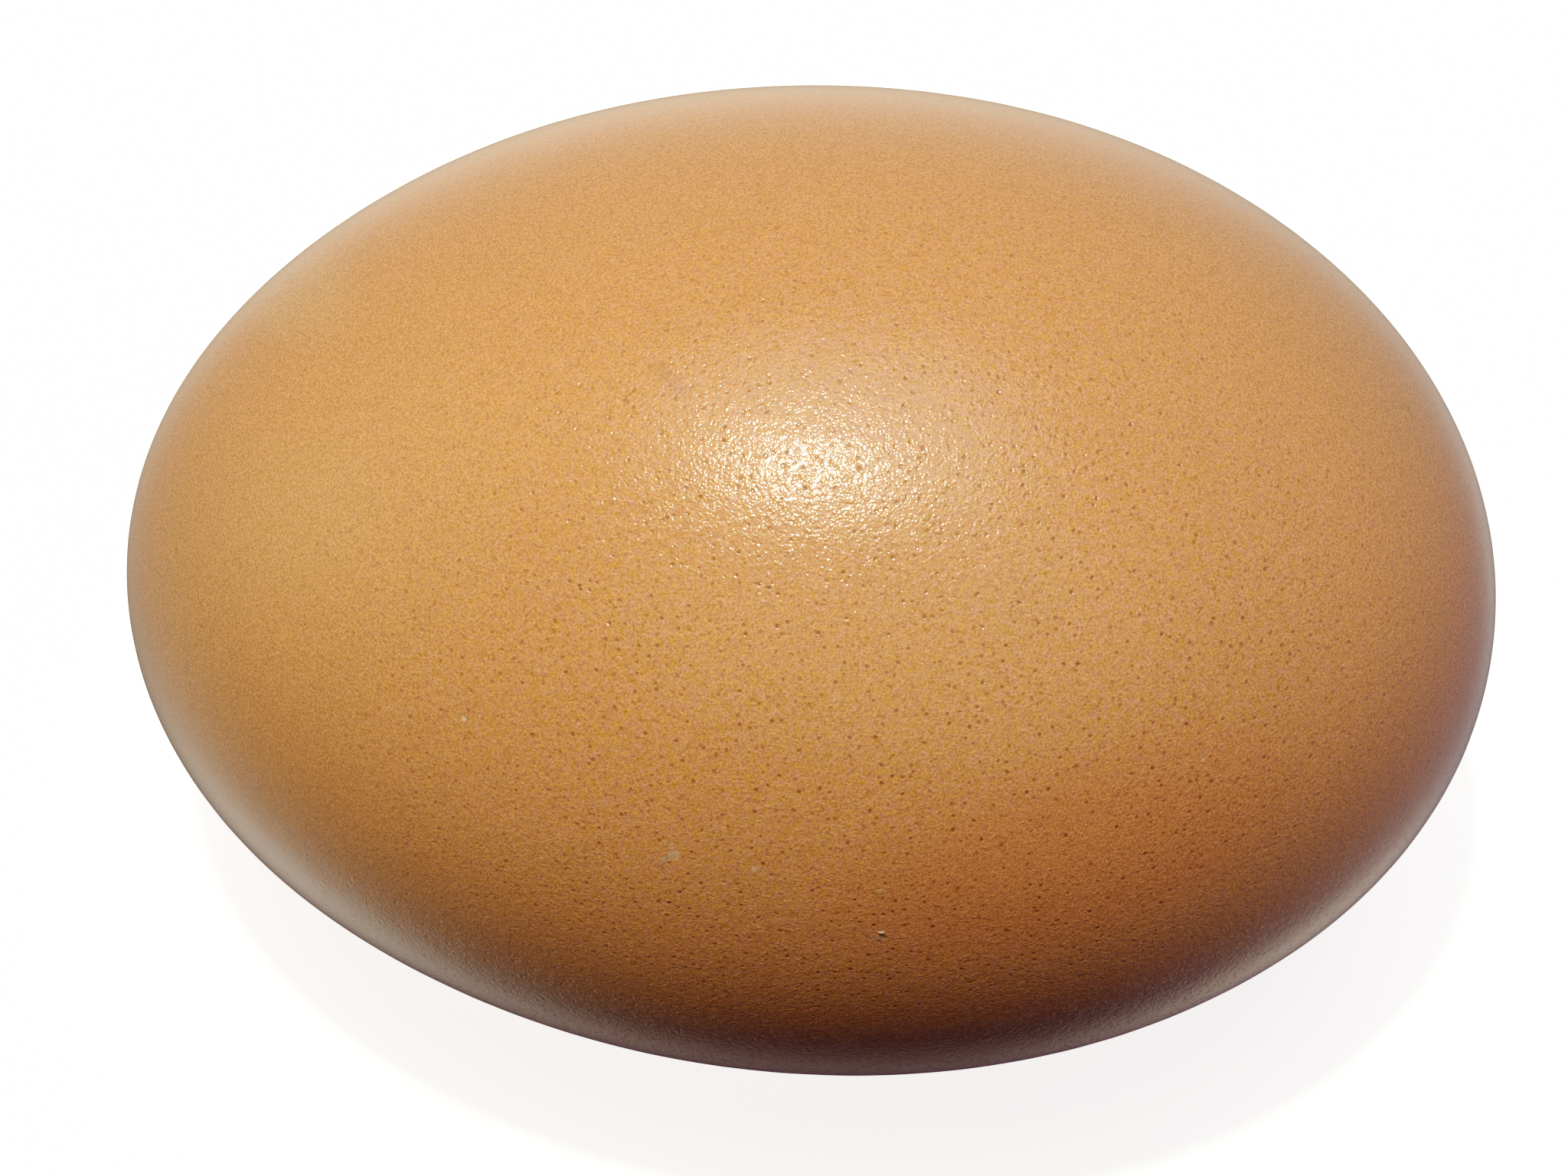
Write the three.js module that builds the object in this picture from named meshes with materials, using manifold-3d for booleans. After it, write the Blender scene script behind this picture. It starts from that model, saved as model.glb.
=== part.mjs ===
import * as THREE from 'three';
import { mergeVertices } from 'three/addons/utils/BufferGeometryUtils.js';
import Module from 'manifold-3d';

// A whole hen's egg in its brown shell, lying on its side as it comes to rest on a level surface.
// Millimetres, +Z up. The long axis runs along X, with the pointed end at -X and the blunt end at +X.
// The origin is on the surface, under the middle of the egg.

// Driving dimensions
const LENGTH = 59; // from tip to tip
const BREADTH = 42.6; // across the widest ring
const WIDEST_SHIFT = 1; // from the middle of the length to the widest ring, towards the blunt end
const TIP_DROOP = 0.35; // how far each tip lies off the line of the middle
const DROOP_SLOPE = 30; // degrees below level, towards -Y, of the side on which the tips lie
const FLAT_DEPTH = 0.2; // height of the cap that is missing underneath, where the egg rests

// Fineness of the faceted surface
const RINGS = 60;
const SEGMENTS = 72;
const SLICES = 6000; // steps along the length for the centre of mass and the resting point

const SHELL_BROWN = 0xcb935a;

const manifold = await Module();
manifold.setup();

// Radius of the ring at the distance x from the middle of the length, towards the blunt end
function ringRadius(x) {
  const taper = LENGTH ** 2 - 8 * WIDEST_SHIFT * x + 4 * WIDEST_SHIFT ** 2;
  return (BREADTH / 2) * Math.sqrt(Math.max(LENGTH ** 2 - 4 * x ** 2, 0) / taper);
}

// Where the centre of mass lies along the length of an egg that is equally dense all through
function massCentre() {
  let volume = 0;
  let moment = 0;
  for (let i = 0; i < SLICES; i++) {
    const x = LENGTH * ((i + 0.5) / SLICES - 0.5);
    volume += ringRadius(x) ** 2;
    moment += x * ringRadius(x) ** 2;
  }
  return moment / volume;
}

// An egg rests on the point of its outline nearest to its centre of mass, with the pointed end dipped
function restTilt() {
  const centre = massCentre();
  let nearest = Infinity;
  let tilt = 0;
  for (let i = 0; i < SLICES; i++) {
    const x = LENGTH * ((i + 0.5) / SLICES - 0.5);
    const distance = Math.hypot(x - centre, ringRadius(x));
    if (distance < nearest) {
      nearest = distance;
      tilt = Math.atan2(centre - x, ringRadius(x));
    }
  }
  return tilt;
}

// Lets both ends droop to one side, more and more towards the tips
function droopTips(geometry) {
  const slope = THREE.MathUtils.degToRad(DROOP_SLOPE);
  const position = geometry.getAttribute('position');
  for (let i = 0; i < position.count; i++) {
    const droop = TIP_DROOP * (position.getX(i) / (LENGTH / 2)) ** 2;
    position.setY(i, position.getY(i) - droop * Math.cos(slope));
    position.setZ(i, position.getZ(i) - droop * Math.sin(slope));
  }
}

// The closed egg before it has its flat: a turned outline, laid along X and tilted to its rest
function roundEgg() {
  const outline = [];
  for (let i = 0; i <= RINGS; i++) {
    const x = (-LENGTH / 2) * Math.cos((Math.PI * i) / RINGS);
    outline.push(new THREE.Vector2(ringRadius(x), x));
  }
  const egg = new THREE.LatheGeometry(outline, SEGMENTS);
  egg.rotateZ(-Math.PI / 2);
  droopTips(egg);
  egg.rotateY(-restTilt());
  return egg;
}

// A slab under the egg whose top face is the plane of the flat
function slabUnder(egg) {
  egg.computeBoundingBox();
  const slab = new THREE.BoxGeometry(LENGTH, BREADTH, BREADTH);
  slab.translate(0, 0, egg.boundingBox.min.z + FLAT_DEPTH - BREADTH / 2);
  return slab;
}

// Turns a closed geometry into a solid that can be cut
function solidOf(geometry) {
  const bare = geometry.clone();
  bare.deleteAttribute('normal');
  bare.deleteAttribute('uv');
  const merged = mergeVertices(bare);
  const mesh = new manifold.Mesh({
    numProp: 3,
    vertProperties: merged.getAttribute('position').array,
    triVerts: new Uint32Array(merged.index.array),
  });
  return new manifold.Manifold(mesh);
}

// Turns a solid back into a geometry
function geometryOf(solid) {
  const { vertProperties, triVerts } = solid.getMesh();
  const geometry = new THREE.BufferGeometry();
  geometry.setAttribute('position', new THREE.BufferAttribute(vertProperties, 3));
  geometry.setIndex(new THREE.BufferAttribute(triVerts, 1));
  geometry.computeVertexNormals();
  geometry.computeBoundingBox();
  return geometry;
}

// The egg with its small resting flat, standing on the surface with its middle over the origin
function makeEgg() {
  const whole = roundEgg();
  const geometry = geometryOf(solidOf(whole).subtract(solidOf(slabUnder(whole))));
  const material = new THREE.MeshStandardMaterial({ color: SHELL_BROWN, roughness: 0.45, metalness: 0 });
  const egg = new THREE.Mesh(geometry, material);
  egg.name = 'egg';
  const { min, max } = geometry.boundingBox;
  egg.position.set(-(min.x + max.x) / 2, -(min.y + max.y) / 2, -min.z);
  return egg;
}

const root = new THREE.Group();
root.add(makeEgg());

export default root;
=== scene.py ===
import math

import bmesh
import bpy
from mathutils import Matrix, Vector, noise
from mathutils.bvhtree import BVHTree


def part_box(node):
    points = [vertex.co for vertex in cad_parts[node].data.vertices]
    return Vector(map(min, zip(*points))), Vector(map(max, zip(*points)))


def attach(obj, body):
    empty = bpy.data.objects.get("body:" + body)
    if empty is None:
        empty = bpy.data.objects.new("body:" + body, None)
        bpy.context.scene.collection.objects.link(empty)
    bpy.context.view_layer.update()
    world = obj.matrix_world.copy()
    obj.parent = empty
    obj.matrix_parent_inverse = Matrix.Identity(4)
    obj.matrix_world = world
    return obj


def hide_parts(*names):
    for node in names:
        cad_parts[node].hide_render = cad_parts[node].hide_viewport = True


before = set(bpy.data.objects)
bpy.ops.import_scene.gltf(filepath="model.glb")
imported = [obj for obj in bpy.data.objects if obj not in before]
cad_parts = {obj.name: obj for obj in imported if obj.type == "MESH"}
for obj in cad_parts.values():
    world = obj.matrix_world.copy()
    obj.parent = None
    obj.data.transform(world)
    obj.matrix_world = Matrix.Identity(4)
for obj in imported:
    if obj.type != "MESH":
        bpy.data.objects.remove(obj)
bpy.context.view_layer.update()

# A whole hen's egg in its brown shell, lying on its side. Metres, +Z up, the blunt end at +X.

# The outline of the egg, as in the solid part
LENGTH = 0.059
BREADTH = 0.0426
WIDEST_SHIFT = 0.001
TIP_DROOP = 0.00035
DROOP_SLOPE = math.radians(30)
REST_TILT = math.radians(1.747)
FLAT_DEPTH = 0.0002

# The shell's mesh, grown from a cube, and its unevenness
CUBE_CUTS = 127
MAP_MARGIN = 0.004
SWELL_SIZE = 0.012
SWELL_HEIGHT = 0.00006
PEEL_SIZE = 0.0013
PEEL_HEIGHT = 0.000006

# The shell's colour: a mottling between dark and pale, and a hue that wavers between pink and yellow
SHELL_DARK = (0.655, 0.265, 0.121)
SHELL_PALE = (0.730, 0.317, 0.157)
PINK_CAST = (1.03, 1, 1.42)
YELLOW_CAST = (0.97, 1, 0.6)
MOTTLE_SIZE = 0.0003
HUE_SIZE = 0.0003
COLOUR_FINENESS = 0.65
DUST_SIZE = 0.00009
DUST_STRENGTH = 0.25
SHELL_ROUGHNESS = 0.17

# The pores: coarse ones that are pits as well, and fine ones that are only coloured
PORE_BROWN = (0.22, 0.06, 0.018)
PORE_SPACING = 0.00042
PORE_RADIUS = 0.000125
PORE_DEPTH = 0.000018
PORE_STRENGTH = 0.68
PORE_RAGGEDNESS = 0.00006
FINE_PORE_SPACING = 0.0003
FINE_PORE_RADIUS = 0.00009
FINE_PORE_STRENGTH = 0.45
PORE_CORE = 0.35
DOT_SCATTER = 0.9
FAINTEST_PORE = 0.35

# The grain of the shell, which breaks up the highlight
GRAIN_SIZE = 0.00025
GRAIN_HEIGHT = 0.00002
GRAIN_FINENESS = 0.6
DOME_SIZE = 0.00012
DOME_HEIGHT = 0.0000126
CLUMP_SIZE = 0.0003
CLUMP_LOW = 0.2
CLUMP_HIGH = 1.4

# The shell is busiest around one place in the photograph and plainer further away from it
BUSY_PIXEL = (1180, 960)
BUSY_NEAR = 0.012
BUSY_FAR = 0.026
PLAIN_SHARE = 0.3
ROUGH_NEAR = 0.018
ROUGH_FAR = 0.03
SMOOTH_SHARE = 0.35

# Broad patches of painted light and painted shade in the shell's colour, laid under its pores: painted
# light in the middle beneath the highlight and on the upper left, painted shade on the lower right
LIGHT_AND_SHADE_ZONES = [
    # Painted light: a paler patch in the middle, beneath the highlight
    {"name": "painted light in the middle", "pixel": (1180, 790), "along": (1, 0.1), "long": 480, "short": 260,
     "colour": (0.89, 0.50, 0.27), "strength": 0.14, "patchy": 0},
    # Painted shade: a browner, darker patch on the lower part of the egg, on the right
    {"name": "painted shade on the lower right", "pixel": (1400, 1130), "along": (1, -0.3), "long": 430, "short": 180,
     "colour": (0.65, 0.238, 0.108), "strength": 0.7, "patchy": 0},
    # Painted light: a paler patch on the upper left
    {"name": "painted light on the upper left", "pixel": (390, 385), "along": (1, 0.75), "long": 200, "short": 90,
     "colour": (0.705, 0.335, 0.175), "strength": 0.7, "patchy": 0},
]

# Single marks on the shell, and a painted shadow under the grain of lime, placed and sized in the
# photograph's pixels, each along a line in the picture
PATCH_SIZE = 0.00022
MARK_CORE = 0.35
MARKS_AND_PAINTED_SHADOW = [
    {"name": "olive haze", "pixel": (862, 484), "along": (1, 0.7), "long": 24, "short": 16,
     "colour": (0.28, 0.13, 0.06), "strength": 0.28, "patchy": 0.4},
    {"name": "lilac haze", "pixel": (885, 505), "along": (1, 0.8), "long": 26, "short": 17,
     "colour": (0.34, 0.15, 0.19), "strength": 0.28, "patchy": 0.4},
    {"name": "upper half of the scratch", "pixel": (829, 511), "along": (1, -0.35), "long": 8, "short": 2,
     "colour": (0.24, 0.14, 0.05), "strength": 0.4, "patchy": 0},
    {"name": "lower half of the scratch", "pixel": (821, 516), "along": (1, -0.9), "long": 6, "short": 2,
     "colour": (0.24, 0.14, 0.05), "strength": 0.6, "patchy": 0},
    {"name": "dot at the scratch", "pixel": (817, 523), "along": (1, 0), "long": 5, "short": 4,
     "colour": (0.28, 0.11, 0.03), "strength": 0.6, "patchy": 0},
    {"name": "olive spot in the highlight", "pixel": (1204, 677), "along": (1, 0), "long": 6, "short": 5,
     "colour": (0.60, 0.48, 0.18), "strength": 0.5, "patchy": 0},
    {"name": "lime film", "pixel": (880, 1117), "along": (1, -0.3), "long": 12, "short": 9,
     "colour": (0.78, 0.60, 0.55), "strength": 0.45, "patchy": 0.4},
    {"name": "thin lime film beside it", "pixel": (867, 1123), "along": (1, -0.3), "long": 11, "short": 7,
     "colour": (0.60, 0.43, 0.40), "strength": 0.4, "patchy": 0.6},
    {"name": "thin lime film above it", "pixel": (877, 1105), "along": (0.2, 1), "long": 8, "short": 4,
     "colour": (0.70, 0.58, 0.45), "strength": 0.25, "patchy": 0.3},
    {"name": "lime fleck above the film", "pixel": (868, 1099), "along": (1, 0), "long": 5, "short": 4,
     "colour": (0.70, 0.55, 0.40), "strength": 0.25, "patchy": 0},
    {"name": "lime fleck", "pixel": (985, 1135), "along": (1, 0), "long": 5, "short": 5,
     "colour": (0.80, 0.55, 0.50), "strength": 0.55, "patchy": 0},
    {"name": "faint lime fleck", "pixel": (946, 1155), "along": (1, 0), "long": 5, "short": 4,
     "colour": (0.90, 0.55, 0.42), "strength": 0.4, "patchy": 0},
    {"name": "olive fleck", "pixel": (1148, 1164), "along": (1, -0.2), "long": 10, "short": 4,
     "colour": (0.80, 0.48, 0.24), "strength": 0.5, "patchy": 0},
    # Painted shadow: a dark edge and a soft greyish shadow under the grain of lime
    {"name": "painted shadow edge under the grain", "pixel": (1154, 1223), "along": (1, 0), "long": 8, "short": 2,
     "colour": (0.12, 0.05, 0.03), "strength": 0.3, "patchy": 0},
    {"name": "painted soft shadow under the grain", "pixel": (1147, 1226), "along": (1, 0), "long": 12, "short": 6,
     "colour": (0.45, 0.33, 0.28), "strength": 0.5, "patchy": 0.4},
    {"name": "pale speck left", "pixel": (606, 939), "along": (1, 0), "long": 4, "short": 4,
     "colour": (0.95, 0.65, 0.50), "strength": 0.8, "patchy": 0},
    {"name": "pale speck right", "pixel": (1571, 992), "along": (1, 0), "long": 4, "short": 4,
     "colour": (0.90, 0.60, 0.35), "strength": 0.45, "patchy": 0},
    {"name": "brown dash", "pixel": (1841, 537), "along": (0.5, 1), "long": 15, "short": 5,
     "colour": (0.36, 0.13, 0.04), "strength": 0.45, "patchy": 0.3},
    {"name": "brown mark at the left end", "pixel": (230, 717), "along": (0, 1), "long": 12, "short": 6,
     "colour": (0.42, 0.17, 0.05), "strength": 0.3, "patchy": 0.3},
    {"name": "brown mark below it", "pixel": (243, 875), "along": (0, 1), "long": 12, "short": 6,
     "colour": (0.42, 0.17, 0.05), "strength": 0.3, "patchy": 0.3},
]

# A grain of lime and three lumps of shell that stand up: places and half sizes in the photograph's
# pixels, and how far each stands up in metres
LIME_GRAINS = [{"pixel": (1151, 1218), "half": (5, 2.2), "stand": 0.00007}]
SHELL_LUMPS = [
    {"pixel": (1209, 675), "half": (6, 5), "stand": 0.00004},
    {"pixel": (1226, 694), "half": (5, 4), "stand": 0.00004},
    {"pixel": (1273, 697), "half": (3.5, 3.5), "stand": 0.00004},
]
LUMP_DENTS = 0.18
LUMP_DENT_WAVES = 1.3
LUMP_VARIETY = 4000
LIME_PALE = (0.54, 0.35, 0.30)
LIME_DARK = (0.42, 0.27, 0.21)
LIME_ROUGHNESS = 0.6

# The photograph's frame, how many of its pixels make a metre of the egg, and where the egg lies in it
PHOTO_WIDTH = 2048
PHOTO_HEIGHT = 1536
PHOTO_SCALE = 30270
EGG_MIDDLE_PIXEL = (1058.2, 756.6)
NEAR_PIXELS = 4
CAMERA_DISTANCE = 0.3
CAMERA_ELEVATION = math.radians(60)
CAMERA_ROLL = math.radians(3.17)
SENSOR_WIDTH = 36
NEAREST_SEEN = 0.01
FURTHEST_SEEN = 20

# The lights: each lies in a direction to the right of, above and back towards the photographer, and its
# spread is in degrees
LIGHTS = [
    {"name": "key light", "towards": (-0.07, 0.472, 1), "strength": 2.25,
     "colour": (0.9, 1, 0.72), "spread": 3, "shines": True},
    {"name": "soft light above", "towards": (0, 0.675, 1), "strength": 1.36,
     "colour": (0.97, 0.98, 0.68), "spread": 45, "shines": True},
    {"name": "soft light on the left", "towards": (-0.84, 0.91, 1), "strength": 0.32,
     "colour": (1, 0.42, 0.09), "spread": 40, "shines": True},
    {"name": "fill light from below", "towards": (0, -0.1, -1), "strength": 0.7,
     "colour": (0.92, 1, 0.7), "spread": 40, "shines": False},
]

# The surroundings: a dim room with soft glows in such directions. The last one, behind the egg, takes
# light away, for the thin dark edge that the egg has in the photograph
ROOM_LIGHT = (0.005, 0.005, 0.005)
SOFT_GLOWS = [
    {"towards": (-0.22, 0.14, 0.96), "colour": (0.7, 0.14, 0.14), "narrowness": 20},
    {"towards": (0.22, 0.1, 0.97), "colour": (0.06, 0.04, 0.34), "narrowness": 20},
    {"towards": (0.1, 0.72, 0.69), "colour": (0.2, 0.34, 0.6), "narrowness": 30},
    {"towards": (-0.1, 0.6, -0.79), "colour": (0, 0, 0.22), "narrowness": 2.5},
    {"towards": (-0.1, 0.5, -0.86), "colour": (1.2, 1.08, 0.6), "narrowness": 6},
    {"towards": (0.8, -0.16, -0.57), "colour": (0.1, 0.09, 0.22), "narrowness": 6},
    {"towards": (0.9, 0.3, 0.3), "colour": (0, 0, 0.16), "narrowness": 6},
    {"towards": (0.6, 0.5, -0.6), "colour": (0.12, 0.2, 0.14), "narrowness": 6},
    {"towards": (-0.9, 0.1, -0.4), "colour": (0.08, 0.22, 0.2), "narrowness": 10},
    {"towards": (-0.67, -0.4, -0.62), "colour": (0.74, 0.68, 0.54), "narrowness": 14},
    {"towards": (-0.93, 0.23, 0.28), "colour": (0.5, 0.88, 0.42), "narrowness": 14},
    {"towards": (0.55, -0.45, -0.7), "colour": (0.5, 0.35, 0.24), "narrowness": 14},
    {"towards": (-0.45, -0.5, -0.74), "colour": (0.33, 0.29, 0.25), "narrowness": 40},
    {"towards": (-0.39, -0.37, -0.84), "colour": (0.68, 0.58, 0.45), "narrowness": 45},
    {"towards": (-0.13, -0.48, -0.87), "colour": (0.1, 0.07, 0.05), "narrowness": 60},
    {"towards": (0.33, -0.35, -0.87), "colour": (0.66, 0.56, 0.4), "narrowness": 60},
    {"towards": (0.42, 0.05, -0.9), "colour": (0.3, 0.27, 0.24), "narrowness": 60},
    {"towards": (0, 0, -1), "colour": (-0.45, -0.43, -0.36), "narrowness": 25},
]
WALL_COLOUR = (1.8, 1.8, 1.8)
FLOOR_SIZE = 6
FLOOR_COLOUR = (0.82, 0.82, 0.8, 1)
FLOOR_ROUGHNESS = 0.9
FLOOR_GLOW = 1.1
ALL_COLOURS = 3
TONE_CURVE = [
    (0, 0), (0.015, 0.005), (0.036, 0.02), (0.067, 0.05), (0.11, 0.1), (0.175, 0.18),
    (0.282, 0.3), (0.45, 0.45), (0.69, 0.62), (1.01, 0.8), (1.364, 0.95), (2.08, 1),
]


def new_piece(name, bm):
    """Turns a bmesh into a smooth piece of the scene."""
    mesh = bpy.data.meshes.new(name)
    bm.to_mesh(mesh)
    bm.free()
    mesh.shade_smooth()
    piece = bpy.data.objects.new(name, mesh)
    bpy.context.scene.collection.objects.link(piece)
    return piece


# The shell

def place_on_egg(direction):
    """The place on the smooth outline for a direction from the egg's middle, before it is laid down."""
    x = LENGTH / 2 * direction.x
    taper = LENGTH**2 - 8 * WIDEST_SHIFT * x + 4 * WIDEST_SHIFT**2
    across = BREADTH / 2 * LENGTH / math.sqrt(taper)
    droop = TIP_DROOP * direction.x**2
    y = across * direction.y - droop * math.cos(DROOP_SLOPE)
    z = across * direction.z - droop * math.sin(DROOP_SLOPE)
    return Vector((x, y, z))


def unevenness(place):
    """How far the shell stands off the smooth outline."""
    swell = noise.noise(place / SWELL_SIZE) * SWELL_HEIGHT
    peel = noise.noise(place / PEEL_SIZE) * PEEL_HEIGHT
    return swell + peel


def add_bake_map(bm):
    """Lays the six sides of the cube that the shell is grown from side by side on a UV map."""
    layer = bm.loops.layers.uv.new("OFBake")
    sides = [(0, 1), (0, -1), (1, 1), (1, -1), (2, 1), (2, -1)]
    for face in bm.faces:
        middle = face.calc_center_median()
        axis = max(range(3), key=lambda i: abs(middle[i]))
        side = sides.index((axis, 1 if middle[axis] > 0 else -1))
        column, row = side % 3, side // 3
        for loop in face.loops:
            flat = [loop.vert.co[i] for i in range(3) if i != axis]
            across = (flat[0] + 1) / 2 * (1 - 2 * MAP_MARGIN) + MAP_MARGIN
            up = (flat[1] + 1) / 2 * (1 - 2 * MAP_MARGIN) + MAP_MARGIN
            loop[layer].uv = ((column + across) / 3, (row + up) / 2)


def make_shell():
    """The shell, and how far its middle lies from the origin of the shared frame."""
    bm = bmesh.new()
    bmesh.ops.create_cube(bm, size=2)
    bmesh.ops.subdivide_edges(bm, edges=bm.edges[:], cuts=CUBE_CUTS, use_grid_fill=True)
    add_bake_map(bm)
    for vert in bm.verts:
        even = Vector([math.tan(c * math.pi / 4) for c in vert.co])
        direction = even.normalized()
        place = place_on_egg(direction)
        vert.co = place + direction * unevenness(place)
    turn = Matrix.Rotation(-REST_TILT, 3, "Y")
    bmesh.ops.rotate(bm, verts=bm.verts[:], cent=(0, 0, 0), matrix=turn)

    low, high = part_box("egg")
    middle = (low + high) / 2
    xs = [v.co.x for v in bm.verts]
    ys = [v.co.y for v in bm.verts]
    lowest = min(v.co.z for v in bm.verts)
    shift_x = middle.x - (min(xs) + max(xs)) / 2
    shift_y = middle.y - (min(ys) + max(ys)) / 2
    shift = Vector((shift_x, shift_y, low.z - lowest - FLAT_DEPTH))
    bmesh.ops.translate(bm, verts=bm.verts[:], vec=shift)
    for vert in bm.verts:
        vert.co.z = max(vert.co.z, low.z)
    bmesh.ops.recalc_face_normals(bm, faces=bm.faces[:])
    return new_piece("eggshell", bm), shift


# The camera and the places that it sees

def view_axes():
    """The photographer's directions to the right, up and back towards the camera."""
    back = Vector((0, -math.cos(CAMERA_ELEVATION), math.sin(CAMERA_ELEVATION)))
    right = Vector((1, 0, 0))
    up = back.cross(right)
    turn = Matrix.Rotation(CAMERA_ROLL, 3, back)
    return turn @ right, turn @ up, back


def seen_direction(towards):
    """A direction seen by the photographer, to the right, up and back, turned into the shared frame."""
    right, up, back = view_axes()
    return (right * towards[0] + up * towards[1] + back * towards[2]).normalized()


def make_camera(target):
    right, up, back = view_axes()
    data = bpy.data.cameras.new("camera")
    data.sensor_width = SENSOR_WIDTH
    data.lens = SENSOR_WIDTH * CAMERA_DISTANCE * PHOTO_SCALE / PHOTO_WIDTH
    data.clip_start = NEAREST_SEEN
    data.clip_end = FURTHEST_SEEN
    across = (PHOTO_WIDTH / 2 - EGG_MIDDLE_PIXEL[0]) / PHOTO_SCALE
    above = (EGG_MIDDLE_PIXEL[1] - PHOTO_HEIGHT / 2) / PHOTO_SCALE
    camera = bpy.data.objects.new("camera", data)
    bpy.context.scene.collection.objects.link(camera)
    turn = Matrix((right, up, back)).transposed()
    place = target + right * across + up * above + back * CAMERA_DISTANCE
    camera.matrix_world = Matrix.Translation(place) @ turn.to_4x4()
    bpy.context.scene.camera = camera
    return camera


def aim(camera, pixel):
    """Where the photograph's pixel shows the shell, and the normal of the shell there."""
    across = (pixel[0] - PHOTO_WIDTH / 2) / PHOTO_SCALE
    above = (PHOTO_HEIGHT / 2 - pixel[1]) / PHOTO_SCALE
    eye = camera.matrix_world.translation
    ray = camera.matrix_world.to_3x3() @ Vector((across, above, -CAMERA_DISTANCE))
    hit, normal, _, _ = shell_tree.ray_cast(eye, ray.normalized())
    return hit, normal


def placed_marks(camera, marks_and_painted_light):
    """Each mark with its place, line and size on the shell."""
    placed = []
    for mark in marks_and_painted_light:
        column, row = mark["pixel"]
        step_x, step_y = mark["along"]
        start, _ = aim(camera, (column - NEAR_PIXELS * step_x, row - NEAR_PIXELS * step_y))
        end, _ = aim(camera, (column + NEAR_PIXELS * step_x, row + NEAR_PIXELS * step_y))
        centre, _ = aim(camera, mark["pixel"])
        sockets = {
            "Centre": centre, "Along": (end - start).normalized(), "Strength": mark["strength"],
            "Long": mark["long"] / PHOTO_SCALE, "Short": mark["short"] / PHOTO_SCALE,
            "Patchiness": mark["patchy"],
        }
        placed.append({"name": mark["name"], "colour": mark["colour"], "sockets": sockets})
    return placed


def make_lumps(name, lumps, camera):
    """Small rounded lumps, half sunk in the shell."""
    bm = bmesh.new()
    for lump in lumps:
        column, row = lump["pixel"]
        place, normal = aim(camera, (column, row))
        beside, _ = aim(camera, (column + NEAR_PIXELS, row))
        across = normal.cross(beside - place).normalized()
        turn = Matrix((across.cross(normal), across, normal)).transposed().to_4x4()
        half_x, half_y = lump["half"]
        size = Matrix.Diagonal((half_x / PHOTO_SCALE, half_y / PHOTO_SCALE, lump["stand"], 1))
        ball = bmesh.ops.create_icosphere(bm, subdivisions=3, radius=1)["verts"]
        for vert in ball:
            dent = noise.noise(vert.co * LUMP_DENT_WAVES + place * LUMP_VARIETY)
            vert.co *= 1 + LUMP_DENTS * dent
        bmesh.ops.transform(bm, verts=ball, matrix=Matrix.Translation(place) @ turn @ size)
    return new_piece(name, bm)


# The materials

class NodeMaker:
    """Adds nodes to a tree. What a node is given is either a value or another node's output."""

    def __init__(self, tree):
        self.tree = tree

    def add(self, kind, given=None, **settings):
        node = self.tree.nodes.new(kind)
        for name, value in settings.items():
            setattr(node, name, value)
        for socket, value in (given or {}).items():
            target = node.inputs[socket]
            if isinstance(value, bpy.types.NodeSocket):
                self.tree.links.new(value, target)
            else:
                target.default_value = value
        return node

    def number(self, operation, *values):
        return self.add("ShaderNodeMath", dict(enumerate(values)), operation=operation).outputs[0]

    def vector(self, operation, *values):
        node = self.add("ShaderNodeVectorMath", dict(enumerate(values)), operation=operation)
        return node.outputs["Vector"]

    def measure(self, operation, *values):
        """A number from vector maths, such as a distance."""
        node = self.add("ShaderNodeVectorMath", dict(enumerate(values)), operation=operation)
        return node.outputs["Value"]

    def scaled(self, vector, scale):
        node = self.add("ShaderNodeVectorMath", {0: vector, "Scale": scale}, operation="SCALE")
        return node.outputs["Vector"]

    def noise(self, where, size, detail, roughness=0.5):
        given = {"Vector": where, "Scale": 1 / size, "Detail": detail, "Roughness": roughness}
        return self.add("ShaderNodeTexNoise", given).outputs

    def remap(self, value, low, high, to_low=0.0, to_high=1.0, kind="LINEAR"):
        """Moves a value from one range to another."""
        given = {"Value": value, "From Min": low, "From Max": high, "To Min": to_low, "To Max": to_high}
        return self.add("ShaderNodeMapRange", given, interpolation_type=kind).outputs["Result"]

    def cloud(self, noise_value, low=0.0, high=1.0):
        """The middle of a noise's range, drawn out from low to high."""
        return self.remap(noise_value, 0.3, 0.7, low, high)

    def mix(self, share, first, second):
        return self.add("ShaderNodeMix", {0: share, 2: first, 3: second}).outputs[0]

    def mix_colours(self, share, first, second, how="MIX"):
        colours = [c if isinstance(c, bpy.types.NodeSocket) else (*c, 1) for c in (first, second)]
        given = {0: share, 6: colours[0], 7: colours[1]}
        return self.add("ShaderNodeMix", given, data_type="RGBA", blend_type=how).outputs[2]


def new_group(name, vectors, numbers, result):
    group = bpy.data.node_groups.new(name, "ShaderNodeTree")
    for socket in vectors:
        group.interface.new_socket(socket, in_out="INPUT", socket_type="NodeSocketVector")
    for socket in numbers:
        group.interface.new_socket(socket, in_out="INPUT", socket_type="NodeSocketFloat")
    group.interface.new_socket(result, in_out="OUTPUT", socket_type="NodeSocketFloat")
    return group


def new_material(name):
    material = bpy.data.materials.new(name)
    material.use_nodes = True
    material.node_tree.nodes.clear()
    return material, NodeMaker(material.node_tree)


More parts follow.
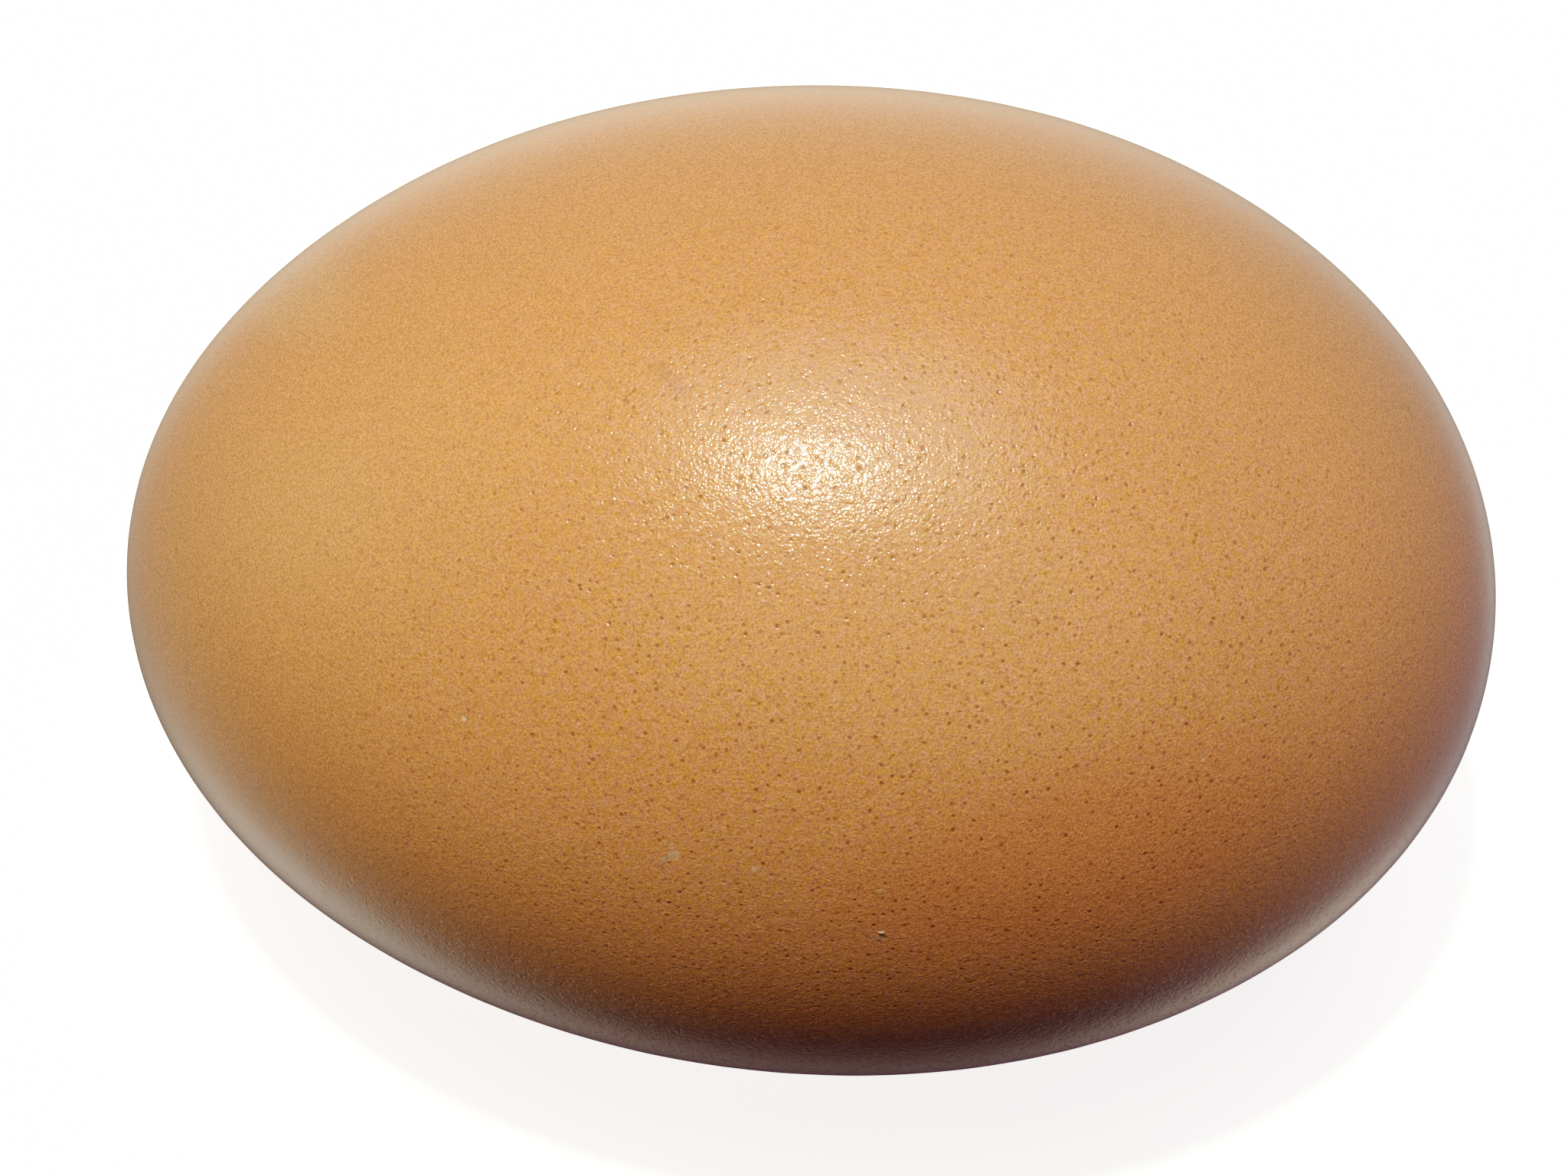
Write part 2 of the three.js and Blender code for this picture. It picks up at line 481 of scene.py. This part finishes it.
def dots_group():
    """Round spots strewn over the shell: how deep each place lies in a spot, from 0 to 1."""
    group = new_group("strewn dots", ["Vector"], ["Spacing", "Radius"], "Dot")
    nodes = NodeMaker(group)
    given = nodes.add("NodeGroupInput").outputs
    scale = nodes.number("DIVIDE", 1.0, given["Spacing"])
    layout = {"Vector": given["Vector"], "Scale": scale, "Randomness": DOT_SCATTER}
    cells = nodes.add("ShaderNodeTexVoronoi", layout).outputs
    reach = nodes.number("DIVIDE", given["Radius"], given["Spacing"])
    core = nodes.number("MULTIPLY", reach, PORE_CORE)
    inside = nodes.remap(cells["Distance"], core, reach, 1.0, 0.0, "SMOOTHSTEP")
    luck = nodes.add("ShaderNodeSeparateColor", {"Color": cells["Color"]}).outputs["Red"]
    power = nodes.remap(luck, 0.0, 1.0, FAINTEST_PORE, 1.0)
    nodes.add("NodeGroupOutput", {"Dot": nodes.number("MULTIPLY", inside, power)})
    return group


def mark_group():
    """One longish mark at a given place: full in its middle, nothing outside, patchy if asked to be."""
    numbers = ["Long", "Short", "Strength", "Patches", "Patchiness"]
    group = new_group("placed mark", ["Vector", "Centre", "Along"], numbers, "Mark")
    nodes = NodeMaker(group)
    given = nodes.add("NodeGroupInput").outputs
    offset = nodes.vector("SUBTRACT", given["Vector"], given["Centre"])
    run = nodes.measure("DOT_PRODUCT", offset, given["Along"])
    shortening = nodes.number("SUBTRACT", nodes.number("DIVIDE", given["Short"], given["Long"]), 1.0)
    squeeze = nodes.scaled(given["Along"], shortening)
    rounded = nodes.vector("MULTIPLY_ADD", squeeze, run, offset)
    reach = nodes.measure("LENGTH", rounded)
    core = nodes.number("MULTIPLY", given["Short"], MARK_CORE)
    mark = nodes.remap(reach, core, given["Short"], given["Strength"], 0.0, "SMOOTHSTEP")
    patches = nodes.mix(given["Patchiness"], 1.0, given["Patches"])
    nodes.add("NodeGroupOutput", {"Mark": nodes.number("MULTIPLY", mark, patches)})
    return group


def shell_relief(nodes, where, pore):
    """The grain, the small domes and the pits of the pores, in heights of the grain."""
    grain = nodes.noise(where, GRAIN_SIZE, 2.0, GRAIN_FINENESS)[0]
    layout = {"Vector": where, "Scale": 1 / DOME_SIZE, "Randomness": 1.0}
    cells = nodes.add("ShaderNodeTexVoronoi", layout).outputs
    domes = nodes.number("POWER", cells["Distance"], 2.0)
    clumps = nodes.cloud(nodes.noise(where, CLUMP_SIZE, 1.0)[0], CLUMP_LOW, CLUMP_HIGH)
    relief = nodes.number("MULTIPLY_ADD", domes, -DOME_HEIGHT / GRAIN_HEIGHT, grain)
    relief = nodes.number("MULTIPLY", relief, clumps)
    return nodes.number("MULTIPLY_ADD", pore, -PORE_DEPTH / GRAIN_HEIGHT, relief)


def shell_ground(nodes, where, busy):
    """The colour of the shell itself, mottled and wavering in hue where it is busy."""
    mottle = nodes.cloud(nodes.noise(where, MOTTLE_SIZE, 4.0, COLOUR_FINENESS)[0])
    mottle = nodes.mix(busy, 0.5, mottle)
    hue = nodes.noise(where, HUE_SIZE, 3.0, COLOUR_FINENESS)["Color"]
    hue = nodes.cloud(nodes.add("ShaderNodeSeparateColor", {"Color": hue}).outputs["Green"])
    hue = nodes.mix(busy, 0.5, hue)
    tint = nodes.mix_colours(mottle, SHELL_DARK, SHELL_PALE)
    cast = nodes.mix_colours(hue, PINK_CAST, YELLOW_CAST)
    return nodes.mix_colours(1.0, tint, cast, "MULTIPLY")


def marked(nodes, tint, marks_and_painted_light, group, where, patches):
    """The colour with placed marks and painted light and shade laid over it."""
    for mark in marks_and_painted_light:
        given = {"Vector": where, "Patches": patches, **mark["sockets"]}
        share = nodes.add("ShaderNodeGroup", given, node_tree=group, label=mark["name"]).outputs["Mark"]
        tint = nodes.mix_colours(share, tint, mark["colour"])
    return tint


def pored(nodes, tint, pore, strength, busy):
    """The colour with pores in it, which fade where the shell is plainer."""
    share = nodes.number("MULTIPLY", nodes.number("MULTIPLY", pore, strength), busy)
    return nodes.mix_colours(share, tint, PORE_BROWN)


def shell_material(light_and_shade_zones, marks_and_painted_light, busy_place):
    material, nodes = new_material("brown eggshell")
    where = nodes.add("ShaderNodeTexCoord").outputs["Object"]
    wobble = nodes.vector("ADD", nodes.noise(where, PORE_RADIUS, 1.0)["Color"], (-0.5, -0.5, -0.5))
    ragged = nodes.vector("MULTIPLY_ADD", wobble, (PORE_RAGGEDNESS,) * 3, where)
    away = nodes.measure("DISTANCE", where, busy_place)
    busy = nodes.remap(away, BUSY_NEAR, BUSY_FAR, 1.0, PLAIN_SHARE)
    rough = nodes.remap(away, ROUGH_NEAR, ROUGH_FAR, 1.0, SMOOTH_SHARE)

    dots = dots_group()
    given = {"Vector": ragged, "Spacing": PORE_SPACING, "Radius": PORE_RADIUS}
    pore = nodes.add("ShaderNodeGroup", given, node_tree=dots).outputs["Dot"]
    given = {"Vector": ragged, "Spacing": FINE_PORE_SPACING, "Radius": FINE_PORE_RADIUS}
    fine_pore = nodes.add("ShaderNodeGroup", given, node_tree=dots).outputs["Dot"]

    placed = mark_group()
    patches = nodes.remap(nodes.noise(ragged, PATCH_SIZE, 2.0)[0], 0.4, 0.6)
    tint = shell_ground(nodes, where, busy)
    # Lays the broad painted light and painted shade into the colour, under the pores
    tint = marked(nodes, tint, light_and_shade_zones, placed, ragged, patches)
    dust = nodes.cloud(nodes.noise(where, DUST_SIZE, 1.0)[0], 1 - DUST_STRENGTH, 1 + DUST_STRENGTH)
    tint = nodes.scaled(tint, dust)
    tint = pored(nodes, tint, fine_pore, FINE_PORE_STRENGTH, busy)
    tint = pored(nodes, tint, pore, PORE_STRENGTH, busy)
    # Lays the marks over the colour, among them the painted shadow under the grain of lime
    tint = marked(nodes, tint, marks_and_painted_light, placed, ragged, patches)

    given = {"Height": shell_relief(nodes, where, pore), "Distance": GRAIN_HEIGHT, "Strength": rough}
    bump = nodes.add("ShaderNodeBump", given).outputs["Normal"]
    given = {"Base Color": tint, "Roughness": SHELL_ROUGHNESS, "Normal": bump}
    shader = nodes.add("ShaderNodeBsdfPrincipled", given)
    nodes.add("ShaderNodeOutputMaterial", {"Surface": shader.outputs[0]})
    return material


def lime_material():
    material, nodes = new_material("grains of lime")
    where = nodes.add("ShaderNodeTexCoord").outputs["Object"]
    cloud = nodes.noise(where, HUE_SIZE, 3.0)[0]
    tint = nodes.mix_colours(cloud, LIME_DARK, LIME_PALE)
    shader = nodes.add("ShaderNodeBsdfPrincipled", {"Base Color": tint, "Roughness": LIME_ROUGHNESS})
    nodes.add("ShaderNodeOutputMaterial", {"Surface": shader.outputs[0]})
    return material


# The studio

def make_lights():
    """Sun lamps. The fill light brightens the underside but doesn't shine in the shell."""
    for light in LIGHTS:
        sun = bpy.data.lights.new(light["name"], "SUN")
        sun.energy = light["strength"]
        sun.color = light["colour"]
        sun.angle = math.radians(light["spread"])
        lamp = bpy.data.objects.new(light["name"], sun)
        lamp.rotation_mode = "QUATERNION"
        lamp.rotation_quaternion = seen_direction(light["towards"]).to_track_quat("Z", "Y")
        lamp.visible_glossy = light["shines"]
        bpy.context.scene.collection.objects.link(lamp)


def make_surroundings():
    """A dim room with soft glows, which shine in the shell. The camera itself sees pale walls."""
    world = bpy.data.worlds.new("studio")
    world.use_nodes = True
    world.node_tree.nodes.clear()
    nodes = NodeMaker(world.node_tree)
    where = nodes.add("ShaderNodeTexCoord").outputs["Generated"]
    total = ROOM_LIGHT
    for glow in SOFT_GLOWS:
        facing = nodes.measure("DOT_PRODUCT", where, seen_direction(glow["towards"]))
        power = nodes.number("MULTIPLY_ADD", facing, glow["narrowness"], -glow["narrowness"])
        fall = nodes.number("EXPONENT", power)
        total = nodes.vector("MULTIPLY_ADD", fall, glow["colour"], total)
    total = nodes.vector("MAXIMUM", total, (0, 0, 0))
    seen = nodes.add("ShaderNodeLightPath").outputs["Is Camera Ray"]
    colour = nodes.mix_colours(seen, total, WALL_COLOUR)
    background = nodes.add("ShaderNodeBackground", {"Color": colour, "Strength": 1.0})
    nodes.add("ShaderNodeOutputWorld", {"Surface": background.outputs[0]})
    bpy.context.scene.world = world


def set_tones():
    """Gives the picture the soft contrast of a photograph."""
    settings = bpy.context.scene.view_settings
    settings.view_transform = "Standard"
    settings.use_curve_mapping = True
    mapping = settings.curve_mapping
    mapping.clip_max_x = TONE_CURVE[-1][0]
    curve = mapping.curves[ALL_COLOURS]
    curve.points[-1].location = TONE_CURVE[-1]
    for at, tone in TONE_CURVE[1:-1]:
        curve.points.new(at, tone)
    mapping.update()


def make_floor():
    """A pale floor with the egg's shadow. Only the camera sees it, and the fill light goes through it."""
    bm = bmesh.new()
    bmesh.ops.create_grid(bm, x_segments=1, y_segments=1, size=FLOOR_SIZE)
    mesh = bpy.data.meshes.new("floor")
    bm.to_mesh(mesh)
    bm.free()
    floor = bpy.data.objects.new("floor", mesh)
    bpy.context.scene.collection.objects.link(floor)
    material = bpy.data.materials.new("pale floor")
    material.use_nodes = True
    shader = material.node_tree.nodes["Principled BSDF"]
    shader.inputs["Base Color"].default_value = FLOOR_COLOUR
    shader.inputs["Roughness"].default_value = FLOOR_ROUGHNESS
    shader.inputs["Emission Color"].default_value = (1, 1, 1, 1)
    shader.inputs["Emission Strength"].default_value = FLOOR_GLOW
    mesh.materials.append(material)
    floor.visible_diffuse = False
    floor.visible_glossy = False
    floor.visible_shadow = False


shell, shell_shift = make_shell()
corners = [vert.co for vert in shell.data.vertices]
shell_tree = BVHTree.FromPolygons(corners, [face.vertices for face in shell.data.polygons])
camera = make_camera(shell_shift)
bpy.context.view_layer.update()

busy_place, _ = aim(camera, BUSY_PIXEL)
brown_shell = shell_material(placed_marks(camera, LIGHT_AND_SHADE_ZONES), placed_marks(camera, MARKS_AND_PAINTED_SHADOW), busy_place)
shell.data.materials.append(brown_shell)
lime_grains = make_lumps("lime_grains", LIME_GRAINS, camera)
lime_grains.data.materials.append(lime_material())
shell_lumps = make_lumps("shell_lumps", SHELL_LUMPS, camera)
shell_lumps.data.materials.append(brown_shell)
for piece in (shell, lime_grains, shell_lumps):
    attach(piece, "root")
    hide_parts("egg")

make_lights()
make_surroundings()
make_floor()
set_tones()
